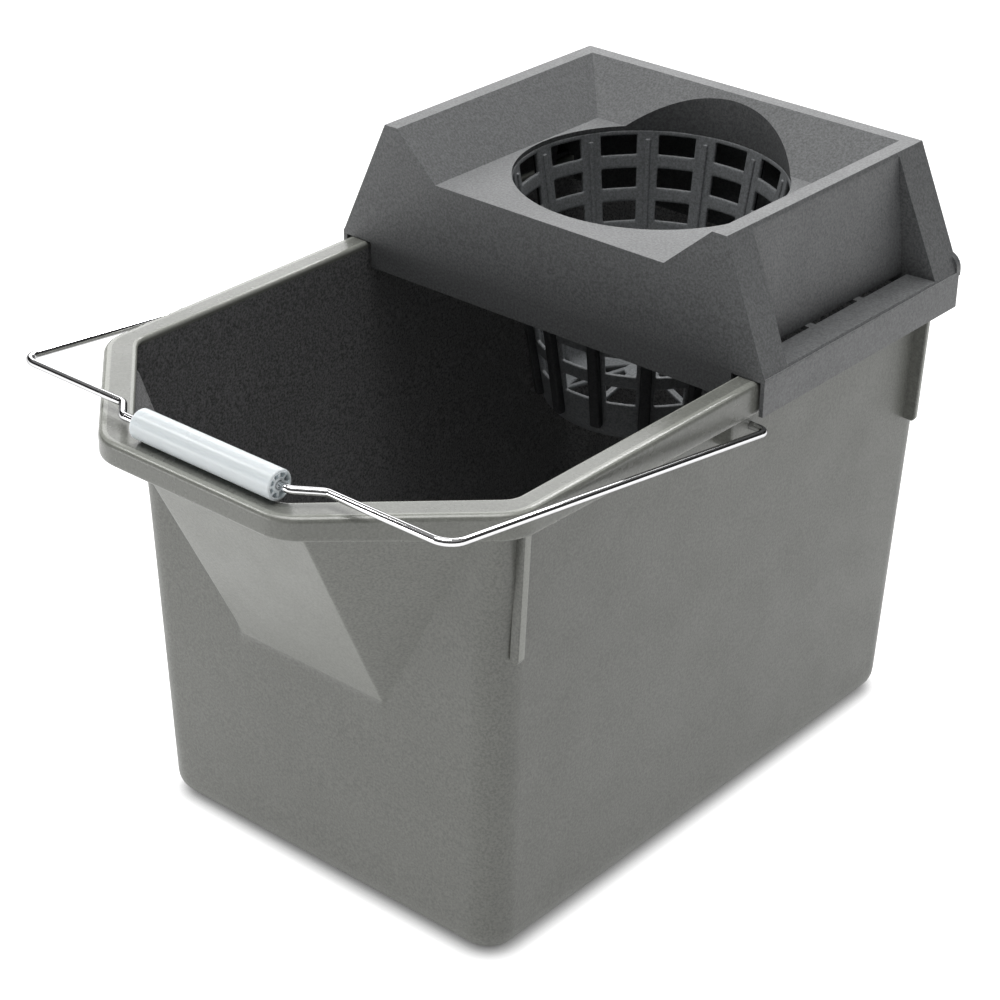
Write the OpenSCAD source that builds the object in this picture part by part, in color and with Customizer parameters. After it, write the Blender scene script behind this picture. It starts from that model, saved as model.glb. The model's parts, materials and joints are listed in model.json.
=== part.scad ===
// Rectangular mop pail with a pouring spout, a drop-on mop strainer and a wire bail.
// Origin: centre of the pail's base, on the floor. The spout points to -Y, +Z is up.

/* [Pail] */
// Outside width of the base
base_w = 214; // [190:1:240]
// Outside length of the base, without the spout
base_l = 322; // [300:1:350]
// Height of the rim's top face above the floor
rim_h = 244; // [236:1:252]
// How far each wall leans out between base and rim
draft = 8; // [5:0.5:11]
// Wall thickness of the pail
wall = 2.2; // [1.8:0.1:2.8]
// Radius of the pail's upright corners
corner_r = 16; // [12:1:20]
// Radius between the walls and the flat base
foot_r = 12; // [8:1:14]

/* [Rim and spout] */
// How far the rim stands out from the walls
rim_reach = 10.2; // [9:0.1:11.5]
// Depth of the rim's turned-down edge beside and behind the strainer
rim_drop = 16; // [14:0.5:17]
// Depth of the rim's turned-down edge at the spout's lip
lip_drop = 10.8; // [9:0.2:14]
// Radius of the rim's corners, seen from above
rim_corner_r = 14; // [8:1:16]
// How far the spout's lip stands out in front of the front wall
spout_reach = 58.5; // [50:0.5:62]
// How far behind the front wall's top edge the rim's chamfers meet its sides
chamfer_end = 4.5; // [0:0.5:10]
// How much wider the rim's land is along the chamfers than along the sides
chamfer_land = 3; // [0:0.5:4]
// Width of the spout's lip
spout_lip_w = 99; // [80:1:110]
// Width of the spout where it runs out on the front wall
spout_foot_w = 87; // [60:1:95]
// Height at which the spout runs out on the front wall
spout_foot_h = 117; // [95:1:140]

/* [Strainer tray] */
// Front face of the strainer, measured back from the base's centre
tray_front = -4.7; // [-6:0.1:-4]
// Length of the strainer from front to back
tray_l = 163; // [160:0.5:165]
// Overall width across the side skirts
skirt_w = 257.8; // [257:0.1:258.4]
// Depth of the side skirts below the shoulder
skirt_drop = 17.8; // [14:0.2:20]
// Height of the shoulder above the rim's top face
shoulder_rise = 1.7; // [1.5:0.1:2.5]
// Width across the top edge
crown_w = 204.6; // [200:0.2:210]
// Height of the top edge above the rim's top face
crown_rise = 64; // [60:1:70]
// Width of the flat land round the top
land = 8; // [6:0.5:10]
// Height of the tray's floor above the rim's top face
floor_rise = 41.7; // [38:0.5:44]
// Width of the tray's floor
floor_w = 138; // [137:0.5:142]
// Length of the tray's floor up to the sloping back wall
floor_l = 127; // [122:1:132]
// Thickness of the strainer's walls
skin = 2.2; // [1.8:0.1:2.6]

/* [Hand pockets] */
// Length of each hand pocket
pocket_l = 120; // [90:1:126]
// Depth of the pocket at its ledge
pocket_deep = 18; // [14:0.5:19]
// Width of the drain slot along the ledge
slot_w = 2.8; // [2:0.1:3.2]
// Length of the two webs across the drain slot
web_l = 5; // [3:0.5:8]

/* [Strainer cone] */
// Radius of the round mop opening
hole_r = 68; // [64:0.5:68.2]
// Depth of the cone below the tray's floor
cone_deep = 122; // [100:1:130]
// Radius taken off between the top and the rounded foot of the cone
cone_taper = 19; // [14:0.5:24]
// Number of window columns
columns = 14; // [10:2:16]
// Number of window rows
rows = 6; // [4:1:6]
// Height of one window
window_h = 9.8; // [8:0.1:11]
// Angle that one window covers
window_deg = 16; // [12:0.5:17]
// Distance from one row of windows to the next
row_pitch = 16.9; // [15:0.1:17.5]
// Number of spokes in the cone's floor
spokes = 7; // [5:1:14]
// Height of the floor's hub above the cone's foot
hub_rise = 15; // [0:0.5:20]

/* [Bail] */
// Diameter of the bail wire
wire_d = 3.7; // [3.2:0.1:4.2]
// Distance from the pivot to the bail's cross run
arm_l = 209.6; // [205:0.2:212]
// Half the distance between the arms at the pivot
pivot_half = 134.5; // [133.5:0.1:136]
// Half the width of the cross run at its corners
corner_half = 127.1; // [126:0.1:130]
// Angle of the arms above level, with the grip down on the spout's lip
rest_deg = 7.2; // [7.1:0.1:9]
// How far the grip's run stands out from the cross run
jog = 10.4; // [8:0.2:12]

/* [Grip] */
// Outside diameter of the grip
grip_d = 14; // [12:0.1:16]
// Length of the grip
grip_l = 83; // [70:1:90]
// Number of webs inside the grip
grip_webs = 8; // [4:1:10]

/* [Hidden] */
$fn = 64;

pail_grey = "#7d7d79";
strainer_grey = "#6e7071";
eps = 0.01;
seat_gap = 0.4;          // free height between the rim and the strainer's seats
hull_fn = 32;

// Pail
top_half = base_w / 2 + draft;
top_front = base_l / 2 + draft;
chamfer_half = top_half - 3.7;      // where the spout's flanks meet the front wall, at the rim
spout_edge_r = 3;
rim_edge = 2.4;
fin_t = [5, 3];
fin_foot_z = [163, 165];
fin_top_z = rim_h - 4;
fin_y = [-base_l / 2 + 2.5, base_l / 2 - 14.5];
fin_out = [4, 7];
left_raise = [9, 0];                // the left front fin ends higher
lug_w = 30;
lug_low_z = rim_h - 29;
lug_face = top_half + 9.6;
lug_r = 5;

// Strainer
seat_z = rim_h + seat_gap;
shoulder_z = rim_h + shoulder_rise;
crown_z = rim_h + crown_rise;
floor_z = rim_h + floor_rise;
tray_back = tray_front + tray_l;
front_lean = 1.8;                    // front and back walls lean in by this much up to the crown
skirt_half = skirt_w / 2;
crown_half = crown_w / 2;
wall_low_z = rim_h - 12.8;
wall_low_half = top_half - 4.5;
seat_in = top_half - 1;
cone_y = (tray_front + tray_back) / 2 + 0.5;
ledge_z = rim_h + 3.8;
pocket_in = skirt_half - pocket_deep - 0.7;
pocket_top_in = crown_half + 0.4;
pocket_y = (tray_front + tray_back) / 2 - 1.3;
plate_rise = 10;                     // the plate at the back of the skirt: height, corner, thickness
plate_r = 8;
plate_out = 1.2;
pocket_flare = 2.5;                  // the pocket is this much longer at each end where it opens

// Cone
cone_top_z = floor_z - skin;
cone_foot_z = floor_z - cone_deep;
cone_foot_r = 9.3;
cone_low_r = hole_r - cone_taper;
base_r = cone_low_r - cone_foot_r;
open_r = base_r - 2;
flange_r = hole_r + 7;
first_row_z = cone_top_z - 2.6;
rib_deg = 360 / columns;
bead_w = 2.6;
rib_w = 6;
taper_deg = atan(cone_taper / (cone_top_z - cone_foot_z - cone_foot_r));
hub_r = 9;
spoke_w = 3.6;

// Bail
pivot = [0, -7.6, rim_h - 20];
wire_r = wire_d / 2;
pin_in = 116.6;
pivot_bore_r = wire_r + 0.1;
cross_half = 60.8;
grip_run_half = 49.8;
bend_r = 5;
corner_bend_r = 9;
bend_swell = 0.03;                   // the wire is this much thicker at its bends
bend_lap = 0.3;
grip_shift = 2.8;                    // the loose grip has slid this far to +X
grip_bore_r = wire_r + 0.1;
grip_shell = 1.5;

// A flat shape in X and Z, drawn out along Y from y0 to y1
module along_y(y0, y1) {
    translate([0, y1, 0]) rotate([90, 0, 0]) linear_extrude(y1 - y0) children();
}

// A flat shape in Y and Z, drawn out along X from x0 to x1
module along_x(x0, x1) {
    translate([x0, 0, 0]) rotate([90, 0, 90]) linear_extrude(x1 - x0) children();
}

module both_sides() {
    children();
    mirror([1, 0, 0]) children();
}

// ---------------------------------------------------------------- pail

// Outline of the walls at rim height, with the spout's lip, grown by a margin; its chamfers
// can be drawn in further than the rest
module rim_outline(grow, chamfer_in = 0) {
    lip = spout_lip_w / 2;
    lip_y = -(top_front + spout_reach);
    run = [top_half - lip, chamfer_end - top_front - lip_y];
    lip_x = lip - chamfer_in * norm(run) / run[1];
    side_y = lip_y + run[1] + chamfer_in * norm(run) / run[0];
    offset(r = rim_corner_r)
        offset(delta = grow - rim_corner_r)
            polygon([[top_half, top_front], [top_half, side_y], [lip_x, lip_y],
                     [-lip_x, lip_y], [-top_half, side_y], [-top_half, top_front]]);
}

// The leaning box of the pail, drawn in by a margin on every wall and at the base
module leaning_box(inset) {
    foot = foot_r - inset;
    ring = corner_r - foot_r;
    hull($fn = hull_fn) {
        for (sx = [-1, 1], sy = [-1, 1]) {
            translate([sx * (base_w / 2 - corner_r), sy * (base_l / 2 - corner_r), foot_r])
                rotate_extrude()
                    intersection() {
                        translate([ring, 0]) circle(foot);
                        translate([0, -foot]) square(2 * foot + ring);
                    }
            translate([sx * (top_half - corner_r), sy * (top_front - corner_r), rim_h - 1])
                cylinder(h = 1 + (inset > 0 ? 1 : 0), r = corner_r - inset);
        }
    }
}

// The spout's wedge, drawn in by a margin
module spout_wedge(inset) {
    r = spout_edge_r;
    lift = inset > 0 ? 1.5 : -r;
    lip_y = -(top_front + spout_reach) + r;
    hull($fn = 24) {
        for (sx = [-1, 1]) {
            translate([sx * (spout_foot_w / 2 - r), -base_l / 2 + 2, spout_foot_h + r]) sphere(r - inset);
            translate([sx * (spout_lip_w / 2 - r / 2), lip_y, rim_h + lift]) sphere(r - inset);
            translate([sx * (chamfer_half - r), -top_front + r, rim_h + lift]) sphere(r - inset);
            translate([sx * (chamfer_half - r), -top_front + 12, rim_h + lift]) sphere(r - inset);
        }
    }
}

// Flat rim with a turned-down edge, open in the middle
module rim() {
    difference() {
        hull() {
            translate([0, 0, rim_h - rim_drop])
                linear_extrude(rim_drop - rim_edge) rim_outline(rim_reach, $fn = hull_fn);
            translate([0, 0, rim_h - 1])
                linear_extrude(1) rim_outline(rim_reach - rim_edge, $fn = hull_fn);
        }
        translate([0, 0, rim_h - rim_drop - 1])
            linear_extrude(rim_drop + 1 - wall) rim_outline(rim_reach - wall, $fn = hull_fn);
        translate([0, 0, rim_h - wall - 1])
            linear_extrude(wall + 2) rim_outline(-wall, chamfer_land, $fn = hull_fn);
        rim_taper();
    }
}

// What the turned-down edge lacks in front of the strainer, where it rises towards the lip
module rim_taper() {
    front = -(top_front + spout_reach + rim_reach);
    low = rim_h - rim_drop;
    along_x(-top_half - 2 * rim_reach, top_half + 2 * rim_reach)
        polygon([[front - 1, low - 1], [tray_front, low - 1], [tray_front, low],
                 [front, rim_h - lip_drop], [front - 1, rim_h - lip_drop]]);
}

// Stiffening fins under the rim, near the four upright corners
module fins(raise = [0, 0]) {
    for (i = [0, 1]) {
        root = base_w / 2 - 3;
        foot = fin_foot_z[i] + raise[i];
        low = base_w / 2 + draft * foot / rim_h;
        along_y(fin_y[i], fin_y[i] + fin_t[i])
            polygon([[root, foot - 2], [low + fin_out[i] * 0.7, foot],
                     [low + fin_out[i] * 0.95, foot + 2],
                     [top_half + fin_out[i], fin_top_z], [root, fin_top_z]]);
    }
}

// Block under the rim that the bail's end hooks into
module bail_lug() {
    along_x(top_half - 1.8, lug_face)
        translate([pivot[1] + 1, (lug_low_z + fin_top_z) / 2])
            offset(r = lug_r, $fn = hull_fn)
                square([lug_w - 2 * lug_r, fin_top_z - lug_low_z - 2 * lug_r], center = true);
}

module pivot_bore() {
    translate([pin_in - 0.6, pivot[1], pivot[2]])
        rotate([0, 90, 0]) cylinder(h = lug_face, r = pivot_bore_r);
}

module pail() {
    color(pail_grey)
    difference() {
        union() {
            difference() {
                union() {
                    leaning_box(0);
                    spout_wedge(0);
                }
                leaning_box(wall);
                spout_wedge(wall);
            }
            rim();
            difference() {
                union() {
                    fins();
                    mirror([1, 0, 0]) fins(left_raise);
                }
                leaning_box(wall);
            }
            both_sides() bail_lug();
        }
        both_sides() pivot_bore();
    }
}

// ---------------------------------------------------------------- strainer tray

// Outside of the tray: sides lean in steeply, front and back hardly at all
module tray_outside(inset) {
    side = (skirt_half - crown_half) / (crown_z - shoulder_z);
    top = crown_z - inset;
    half_top = crown_half + side * inset - 1.09 * inset;
    half_low = skirt_half - 1.09 * inset;
    intersection() {
        along_y(tray_front - 1, tray_back + 1)
            polygon([[-half_low, shoulder_z - eps], [half_low, shoulder_z - eps],
                     [half_top, top], [-half_top, top]]);
        along_x(-skirt_half - 1, skirt_half + 1)
            polygon([[tray_front + inset, shoulder_z - eps], [tray_back - inset, shoulder_z - eps],
                     [tray_back - front_lean - inset, top], [tray_front + front_lean + inset, top]]);
    }
}

// The open space of the tray above its floor, grown by a margin
module tray_space(grow) {
    slope = (crown_half - land - floor_w / 2) / (crown_z - floor_z);
    back = tray_front + floor_l;
    back_top = tray_back - front_lean - land;
    back_slope = (back_top - back) / (crown_z - floor_z);
    side_grow = grow * (sqrt(1 + slope * slope) - slope);
    back_grow = grow * (sqrt(1 + back_slope * back_slope) - back_slope);
    over = 2;
    intersection() {
        along_y(tray_front - 4, tray_back + 4)
            polygon([[-floor_w / 2 - side_grow, floor_z - grow], [floor_w / 2 + side_grow, floor_z - grow],
                     [crown_half - land + side_grow + slope * (over + grow), crown_z + over],
                     [-(crown_half - land + side_grow + slope * (over + grow)), crown_z + over]]);
        along_x(-crown_half, crown_half)
            polygon([[tray_front - 3, floor_z - grow], [back + back_grow, floor_z - grow],
                     [back_top + back_grow + back_slope * (over + grow), crown_z + over],
                     [tray_front - 3, crown_z + over]]);
    }
}

// Space of one hand pocket, grown by a margin on its inner, lower and end faces; its ends flare
module pocket_space(grow) {
    inner = pocket_l / 2 + grow;
    outer = inner + pocket_flare;
    far = skirt_half + 3;
    intersection() {
        along_y(pocket_y - outer, pocket_y + outer)
            polygon([[pocket_in - grow, ledge_z - grow], [far, ledge_z - grow],
                     [far, crown_z - 2 + grow], [pocket_top_in - grow, crown_z - 2 + grow]]);
        translate([0, pocket_y, ledge_z - grow])
            linear_extrude(crown_z - ledge_z)
                polygon([[pocket_in - pocket_deep, -inner], [pocket_in, -inner], [far, -outer],
                         [far, outer], [pocket_in, inner], [pocket_in - pocket_deep, inner]]);
    }
}

// Drain slots under the foot of the pocket's wall, with two webs left between them
module drain_slots() {
    pitch = pocket_l / 3;
    for (i = [0:2]) {
        low = pocket_y - pocket_l / 2 + i * pitch + (i == 0 ? 0 : web_l / 2);
        high = pocket_y - pocket_l / 2 + (i + 1) * pitch - (i == 2 ? 0 : web_l / 2);
        translate([pocket_in - skin - 0.5, low, seat_z - 1])
            cube([skin + 0.5 + slot_w, high - low, ledge_z - seat_z + 1]);
    }
}

// Front or back wall below the shoulder, which hangs inside the pail between the rims
module hanging_wall(y) {
    translate([-wall_low_half, y, wall_low_z]) cube([2 * wall_low_half, skin, shoulder_z - wall_low_z + eps]);
    translate([-skirt_half, y, seat_z]) cube([skirt_w, skin, shoulder_z - seat_z + eps]);
}

// Raised end of the skirt at the back, with rounded upper corners
module back_plate() {
    low = seat_z;
    high = shoulder_z + plate_rise;
    r = plate_r;
    corner = [for (a = [0 : 15 : 90]) [skirt_half - r + r * cos(a), high - r + r * sin(a)]];
    other = [for (k = [len(corner) - 1 : -1 : 0]) [-corner[k][0], corner[k][1]]];
    along_y(tray_back - skin, tray_back + plate_out)
        polygon(concat([[skirt_half, low]], corner, other, [[-skirt_half, low]]));
}

module tray_side() {
    translate([skirt_half - skin, tray_front, shoulder_z - skirt_drop])
        cube([skin, tray_l, skirt_drop + eps]);
    translate([seat_in, tray_front, seat_z])
        cube([skirt_half - seat_in - eps, tray_l, skin]);
    intersection() {
        tray_outside(0);
        pocket_space(skin);
    }
}

module strainer_tray() {
    color(strainer_grey)
    difference() {
        union() {
            difference() {
                tray_outside(0);
                tray_outside(skin);
            }
            intersection() {
                tray_outside(0);
                tray_space(skin);
            }
            intersection() {
                tray_outside(0);
                translate([0, cone_y, floor_z - skin])
                    cylinder(h = crown_z - floor_z + skin, r = hole_r + skin);
            }
            both_sides() tray_side();
            hanging_wall(tray_front);
            hanging_wall(tray_back - skin);
            back_plate();
        }
        tray_space(0);
        both_sides() {
            pocket_space(0);
            drain_slots();
        }
        translate([0, cone_y, floor_z - skin - 5]) cylinder(h = crown_z, r = hole_r);
    }
}

// ---------------------------------------------------------------- strainer cone

// Wall, rounded foot, flange and a floor that rises to its hub
module cone_shell() {
    low_z = cone_foot_z + cone_foot_r;
    translate([0, cone_y, 0])
    rotate_extrude(angle = 360) {
        difference() {
            union() {
                polygon([[0, cone_foot_z + hub_rise], [hub_r, cone_foot_z + hub_rise],
                         [open_r, cone_foot_z], [base_r, cone_foot_z], [base_r, low_z],
                         [cone_low_r + skin, low_z], [hole_r + skin, cone_top_z], [0, cone_top_z]]);
                intersection() {
                    translate([base_r, low_z]) circle(cone_foot_r + skin);
                    translate([base_r, cone_foot_z]) square([cone_foot_r + skin, cone_foot_r]);
                }
                translate([0, cone_top_z - skin]) square([flange_r, skin]);
            }
            polygon([[-1, cone_foot_z + skin + hub_rise], [hub_r, cone_foot_z + skin + hub_rise],
                     [open_r, cone_foot_z + skin], [base_r, cone_foot_z + skin], [cone_low_r, low_z],
                     [hole_r, cone_top_z + eps], [-1, cone_top_z + eps]]);
        }
    }
}

// Wedge-shaped cutters between the ribs, one for each column
module column_wedges(deg, inner, outer) {
    for (i = [0 : columns - 1])
        rotate([0, 0, (i + 0.5) * rib_deg])
            polygon([[inner * cos(deg / 2), -inner * sin(deg / 2)], [outer, -outer * tan(deg / 2)],
                     [outer, outer * tan(deg / 2)], [inner * cos(deg / 2), inner * sin(deg / 2)]]);
}

module windows() {
    for (row = [0 : rows - 1])
        translate([0, cone_y, first_row_z - window_h - row * row_pitch])
            linear_extrude(window_h) column_wedges(window_deg, cone_low_r - 8, hole_r + 12);
}

// Openings between the spokes of the cone's floor
module floor_openings() {
    translate([0, cone_y, cone_foot_z - 1])
        linear_extrude(hub_rise + skin + 2)
            intersection() {
                difference() {
                    circle(open_r);
                    circle(hub_r);
                }
                difference() {
                    circle(open_r + 1);
                    for (i = [0 : spokes - 1])
                        rotate([0, 0, i * 360 / spokes])
                            translate([0, -spoke_w / 2]) square([open_r + 2, spoke_w]);
                }
            }
}

// Ribs outside and slim beads inside, one of each for every column
module cone_ribs() {
    run = (cone_top_z - cone_foot_z - cone_foot_r) / cos(taper_deg);
    for (i = [0 : columns - 1])
        translate([0, cone_y, 0]) rotate([0, 0, i * rib_deg])
            translate([cone_low_r, 0, cone_foot_z + cone_foot_r]) rotate([0, taper_deg, 0]) {
                translate([1, -rib_w / 2, -3]) cube([4.4, rib_w, run - 2]);
                translate([-1, -bead_w / 2, -3]) cube([2, bead_w, run - 3]);
            }
}

module strainer_cone() {
    color(strainer_grey)
    difference() {
        union() {
            cone_shell();
            cone_ribs();
        }
        windows();
        floor_openings();
    }
}

// ---------------------------------------------------------------- bail

// The wire's path in the bail's own plane: x across, then out from the pivot line
bail_path = [[pin_in, 0], [pivot_half, 0], [corner_half, arm_l], [cross_half, arm_l],
             [grip_run_half, arm_l + jog], [-grip_run_half, arm_l + jog], [-cross_half, arm_l],
             [-corner_half, arm_l], [-pivot_half, 0], [-pin_in, 0]];
bail_bends = [0, bend_r, corner_bend_r, bend_r, bend_r, bend_r, bend_r, corner_bend_r, bend_r, 0];

function direction(a, b) = (b - a) / norm(b - a);
function heading(v) = atan2(v[1], v[0]);
// Signed turn between two headings, from -180 to 180 degrees
function turn(a, b) = let (t = heading(b) - heading(a)) t > 180 ? t - 360 : t < -180 ? t + 360 : t;

// Round wire along flat points, bent with the given radius at each one. The straight runs
// reach a little way into the bends, where the wire is a trace thicker.
module bent_wire(points, bends, r) {
    last = len(points) - 1;
    turns = [for (i = [0 : last]) i == 0 || i == last ? 0
             : turn(direction(points[i - 1], points[i]), direction(points[i], points[i + 1]))];
    cuts = [for (i = [0 : last]) bends[i] * tan(abs(turns[i]) / 2)];
    laps = [for (i = [0 : last]) bends[i] > 0 ? bend_lap : 0];
    for (i = [0 : last - 1]) {
        d = direction(points[i], points[i + 1]);
        start = points[i] + d * (cuts[i] - laps[i]);
        length = norm(points[i + 1] - points[i]) - cuts[i] - cuts[i + 1] + laps[i] + laps[i + 1];
        translate([start[0], start[1], 0]) rotate([0, 0, heading(d)])
            rotate([0, 90, 0]) cylinder(h = length, r = r);
        if (i > 0) {
            before = direction(points[i - 1], points[i]);
            side = turns[i] > 0 ? 1 : -1;
            centre = points[i] - before * cuts[i] + side * bends[i] * [-before[1], before[0]];
            from = heading(before) - side * 90;
            translate([centre[0], centre[1], 0])
                rotate([0, 0, side > 0 ? from : from + turns[i]])
                    rotate_extrude(angle = abs(turns[i])) translate([bends[i], 0]) circle(r + bend_swell);
        }
    }
}

// Moves the bail's own plane to where it lies at rest, leaning forward over the rim
module bail_place() {
    translate(pivot) rotate([-rest_deg, 0, 0]) mirror([0, 1, 0]) children();
}

module bail_wire() {
    color("silver") bail_place() bent_wire(bail_path, bail_bends, wire_r);
}

module bail_grip() {
    inner_r = grip_bore_r + grip_shell;
    color("white")
    bail_place() translate([grip_shift, arm_l + jog, 0]) rotate([0, 90, 0])
    difference() {
        union() {
            difference() {
                union() {
                    cylinder(h = grip_l - 2, r = grip_d / 2, center = true);
                    cylinder(h = grip_l, r = grip_d / 2 - 1, center = true);
                }
                cylinder(h = grip_l + 1, r = grip_d / 2 - grip_shell, center = true);
            }
            cylinder(h = grip_l - 1, r = inner_r, center = true);
            for (i = [0 : grip_webs - 1])
                rotate([0, 0, i * 360 / grip_webs])
                    translate([inner_r - 0.5, -0.6, -grip_l / 2 + 0.5])
                        cube([grip_d / 2 - grip_shell - inner_r + 1, 1.2, grip_l - 1]);
        }
        cylinder(h = grip_l + 2, r = grip_bore_r, center = true);
    }
}

pail();
strainer_tray();
strainer_cone();
bail_wire();
bail_grip();
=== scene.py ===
import json
import math

import bmesh
import bpy
from mathutils import Matrix, Vector
from mathutils.bvhtree import BVHTree


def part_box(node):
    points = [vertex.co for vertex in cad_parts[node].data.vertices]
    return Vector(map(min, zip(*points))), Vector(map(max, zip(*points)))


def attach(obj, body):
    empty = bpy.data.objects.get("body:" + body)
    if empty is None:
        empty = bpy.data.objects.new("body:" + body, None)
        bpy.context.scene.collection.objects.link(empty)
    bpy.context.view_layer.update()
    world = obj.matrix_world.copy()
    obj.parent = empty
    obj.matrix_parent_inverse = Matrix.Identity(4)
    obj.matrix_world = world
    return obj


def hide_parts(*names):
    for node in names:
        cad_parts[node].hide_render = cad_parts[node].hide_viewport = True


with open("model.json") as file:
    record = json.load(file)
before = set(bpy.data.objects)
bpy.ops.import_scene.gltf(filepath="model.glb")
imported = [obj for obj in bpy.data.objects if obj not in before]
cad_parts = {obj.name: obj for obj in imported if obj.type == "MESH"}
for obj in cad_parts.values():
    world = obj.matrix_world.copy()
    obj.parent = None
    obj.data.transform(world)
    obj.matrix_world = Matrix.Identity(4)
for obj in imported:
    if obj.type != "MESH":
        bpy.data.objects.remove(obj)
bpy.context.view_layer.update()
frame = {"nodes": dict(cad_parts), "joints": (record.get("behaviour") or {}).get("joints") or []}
scene = bpy.context.scene
MM = 0.001
AXIS = 1e-3                                       # a radius in mm that stands for the axis itself


def box_mm(node):
    """A CAD node's box in millimetres."""
    lo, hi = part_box(node)
    return [c / MM for c in lo], [c / MM for c in hi]


joints = {j["name"]: j for j in frame["joints"]}
pail_lo, pail_hi = box_mm("pail")
tray_front = box_mm("strainer_tray")[0][1]
cone_lo, cone_hi = box_mm("strainer_cone")
wire_end = box_mm("bail_wire")[1][0]
grip_lo, grip_hi = box_mm("bail_grip")
pivot_y, pivot_z = [c / MM for c in joints["bail_swing"]["pos_m"][1:]]
grip_y, grip_z = [c / MM for c in joints["grip_spin"]["pos_m"][1:]]


# ------------------------------------------------------------------ mesh helpers

def make_object(name, verts, faces, smooth=True):
    """A mesh object from points in millimetres."""
    mesh = bpy.data.meshes.new(name)
    mesh.from_pydata([(x * MM, y * MM, z * MM) for x, y, z in verts], [], faces)
    mesh.validate()
    mesh.update()
    obj = bpy.data.objects.new(name, mesh)
    scene.collection.objects.link(obj)
    if smooth:
        mesh.shade_smooth()
    return obj


def fix_normals(obj):
    bm = bmesh.new()
    bm.from_mesh(obj.data)
    bmesh.ops.recalc_face_normals(bm, faces=bm.faces)
    bm.to_mesh(obj.data)
    bm.free()


def apply_modifiers(obj):
    """Bakes the object's modifiers into its mesh."""
    bpy.context.view_layer.update()
    graph = bpy.context.evaluated_depsgraph_get()
    mesh = bpy.data.meshes.new_from_object(obj.evaluated_get(graph), preserve_all_data_layers=True,
                                           depsgraph=graph)
    obj.modifiers.clear()
    obj.data = mesh
    return obj


def bevel(obj, width, segments=3, angle=25, highlight_slot=0):
    """Rounds the sharp edges; the rounded outer edges take the material in the given slot, a painted
    highlight.
    """
    bpy.context.view_layer.update()
    before = BVHTree.FromObject(obj, bpy.context.evaluated_depsgraph_get())
    m = obj.modifiers.new("bevel", "BEVEL")
    m.width = width * MM
    m.segments = segments
    m.limit_method = "ANGLE"
    m.angle_limit = math.radians(angle)
    m.harden_normals = False
    m.use_clamp_overlap = True
    m.miter_outer = "MITER_ARC"
    m.material = highlight_slot
    apply_modifiers(obj)
    for face in obj.data.polygons:
        if highlight_slot and face.material_index == highlight_slot:
            nearest = before.find_nearest(face.center)[0]
            if (nearest - face.center).dot(face.normal) <= 0:     # an inner corner, not an edge: no painted highlight
                face.material_index = 0
    return obj


def cut(obj, cutter):
    m = obj.modifiers.new("cut", "BOOLEAN")
    m.operation = "DIFFERENCE"
    m.solver = "EXACT"
    m.object = cutter
    apply_modifiers(obj)
    bpy.data.objects.remove(cutter)
    return obj


def join(name, parts):
    """One object made of several, with their material indices kept."""
    bm = bmesh.new()
    for p in parts:
        bm.from_mesh(p.data)
        bpy.data.objects.remove(p)
    mesh = bpy.data.meshes.new(name)
    bm.to_mesh(mesh)
    bm.free()
    obj = bpy.data.objects.new(name, mesh)
    scene.collection.objects.link(obj)
    mesh.shade_smooth()
    return obj


def weight_normals(obj):
    m = obj.modifiers.new("flat_faces", "WEIGHTED_NORMAL")
    m.mode = "FACE_AREA_WITH_ANGLE"
    m.weight = 60
    m.keep_sharp = False


def prism(name, points, lo, hi, axis):
    """A flat outline drawn out along one axis; points are the other two coordinates, in cyclic order."""
    order = {"x": (0, 1, 2), "y": (1, 2, 0)}[axis]
    verts = []
    for level in (lo, hi):
        for a, b in points:
            v = [0, 0, 0]
            v[order[0]], v[order[1]], v[order[2]] = level, a, b
            verts.append(v)
    n = len(points)
    faces = [list(range(n))[::-1], list(range(n, 2 * n))]
    faces += [[i, (i + 1) % n, n + (i + 1) % n, n + i] for i in range(n)]
    obj = make_object(name, verts, faces, smooth=False)
    fix_normals(obj)
    return obj


def rounded_bar(name, start, end, across, wide, deep, round_by):
    """A straight bar with rounded edges: wide along 'across', deep the other way."""
    start, end, across = Vector(start), Vector(end), Vector(across).normalized()
    along = (end - start).normalized()
    across = (across - along * across.dot(along)).normalized()
    out = along.cross(across)
    verts = []
    for p in (start, end):
        for s, t in ((-1, -1), (1, -1), (1, 1), (-1, 1)):
            verts.append(p + across * (s * wide / 2) + out * (t * deep / 2))
    obj = make_object(name, [tuple(v) for v in verts],
                      [[0, 3, 2, 1], [4, 5, 6, 7], [0, 1, 5, 4], [1, 2, 6, 5], [2, 3, 7, 6], [3, 0, 4, 7]])
    fix_normals(obj)
    return bevel(obj, round_by, 3)


def conic(start, corner, end, turn, u):
    """A point of the circular arc that rounds a corner which turns by 'turn', u from 0 to 1."""
    w = math.cos(turn / 2)
    den = (1 - u) ** 2 + 2 * w * u * (1 - u) + u * u
    return (start * (1 - u) ** 2 + corner * (2 * w * u * (1 - u)) + end * (u * u)) / den


def fillet_loop(points, radii, arcs, runs):
    """A closed outline with rounded corners; the count of points doesn't depend on the shape."""
    n = len(points)
    pts = [Vector(p) for p in points]
    cuts = []
    for i in range(n):
        before, after = pts[i] - pts[i - 1], pts[(i + 1) % n] - pts[i]
        turn = abs(before.angle_signed(after, 0.0))
        t = max(radii[i] * math.tan(turn / 2), 0.5)
        cuts.append((min(t, 0.44 * before.length, 0.44 * after.length), turn))
    out = []
    for i in range(n):
        before = (pts[i] - pts[i - 1]).normalized()
        after = (pts[(i + 1) % n] - pts[i]).normalized()
        t, turn = cuts[i]
        a, b = pts[i] - before * t, pts[i] + after * t
        out += [conic(a, pts[i], b, turn, k / (arcs[i] - 1)) for k in range(arcs[i])]
        far = pts[(i + 1) % n] - after * cuts[(i + 1) % n][0]
        for k in range(1, runs[i]):
            out.append(b.lerp(far, k / runs[i]))
    return out


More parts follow.
